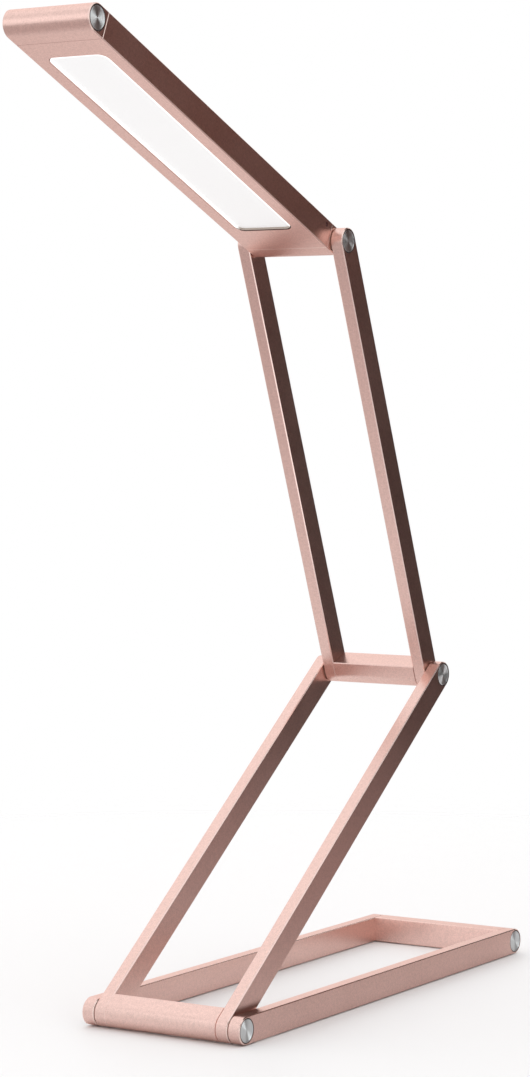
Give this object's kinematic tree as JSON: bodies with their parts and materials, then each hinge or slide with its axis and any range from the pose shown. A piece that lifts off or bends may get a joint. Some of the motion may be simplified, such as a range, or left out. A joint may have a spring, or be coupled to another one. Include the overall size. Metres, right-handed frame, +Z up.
{
  "type": "folding led desk lamp",
  "caption": "Folding desk lamp whose base, two arm frames and slim lighting head turn on friction hinges and nest flat in one another.",
  "frame": {"origin": "centre of the lamp's box at the level of the table, in the pose of the picture", "axes": "+Z up, +X from the front hinge towards the rear bar of the base, +Y along the hinge axes; the head points towards -X and the power button faces -Y"},
  "size_m": [0.3153, 0.075, 0.3975],
  "materials": {
    "frame_metal": "fine bead-blasted, rose-gold anodised, bright chamfers",
    "spun_disc": "turned face with fine concentric lines",
    "steel": "bright zinc plated",
    "washer_polymer": "smooth, waxy",
    "pad_rubber": "matte",
    "seal": "soft, dull black",
    "diffuser": "milky, satin",
    "light_guide": "clear acrylic",
    "reflector": "matt white film",
    "strip_board": "white lacquered board",
    "emitter": "yellow resin",
    "foam": "soft dark foam",
    "battery_foil": "dull foil pouch",
    "circuit_board": "green lacquered board",
    "socket_shell": "bright plated shell",
    "charge_light": "dark tinted light pipe",
    "switch_plastic": "black moulded",
    "lead_sleeve": "red insulation"
  },
  "bodies": {
    "base": {"base_bar_left": "frame_metal", "base_bar_right": "frame_metal", "base_rear_bar": "frame_metal", "base_screws": "steel", "base_dowels": "steel", "front_foot_pads": "pad_rubber", "rear_foot_pad": "pad_rubber", "base_cover_discs": "spun_disc", "base_friction_washers": "washer_polymer", "base_spring_washers": "steel"},
    "lower_arm": {"lower_bar_left": "frame_metal", "lower_bar_right": "frame_metal", "lower_cross_bar": "frame_metal", "base_hinge_screws": "steel", "lower_dowels": "steel", "lower_cover_discs": "spun_disc", "mid_friction_washers": "washer_polymer", "mid_spring_washers": "steel"},
    "upper_arm": {"upper_bar_left": "frame_metal", "upper_bar_right": "frame_metal", "upper_cross_bar": "frame_metal", "mid_hinge_screws": "steel", "upper_dowels": "steel", "upper_cover_discs": "spun_disc", "head_friction_washers": "washer_polymer", "head_spring_washers": "steel"},
    "head": {"head_tube": "frame_metal", "hinge_cap": "frame_metal", "nose_cap": "frame_metal", "head_hinge_screws": "steel", "nose_cover_disc": "spun_disc", "window_seal": "seal", "diffuser": "diffuser", "light_guide": "light_guide", "reflector": "reflector", "light_strip": "strip_board", "light_emitters": "emitter", "foam_pad": "foam", "battery": "battery_foil", "control_board": "circuit_board", "charging_socket": "socket_shell", "charge_light": "charge_light", "button_switch": "switch_plastic", "head_wiring": "lead_sleeve"},
    "button": {"power_button": "spun_disc", "button_clip": "steel"}
  },
  "joints": [
    {"name": "base_hinge", "type": "hinge", "parent": "base", "child": "lower_arm", "pos_m": [-0.07725, 0, 0.006], "axis": [0, 1, 0], "range_deg": [-68.5, 36.5]},
    {"name": "mid_hinge", "type": "hinge", "parent": "lower_arm", "child": "upper_arm", "pos_m": [0.09333, 0, 0.13222], "axis": [0, -1, 0], "range_deg": [-14.9, 90.1]},
    {"name": "head_hinge", "type": "hinge", "parent": "upper_arm", "child": "head", "pos_m": [0.02041, 0, 0.31829], "axis": [0, 1, 0], "range_deg": [-24.5, 225.5]},
    {"name": "power_press", "type": "slide", "parent": "head", "child": "button", "axis": [0, 1, 0], "range_m": [0, 0.0005], "stiffness_N_per_m": 1200, "springref_m": -0.0008}
  ]
}
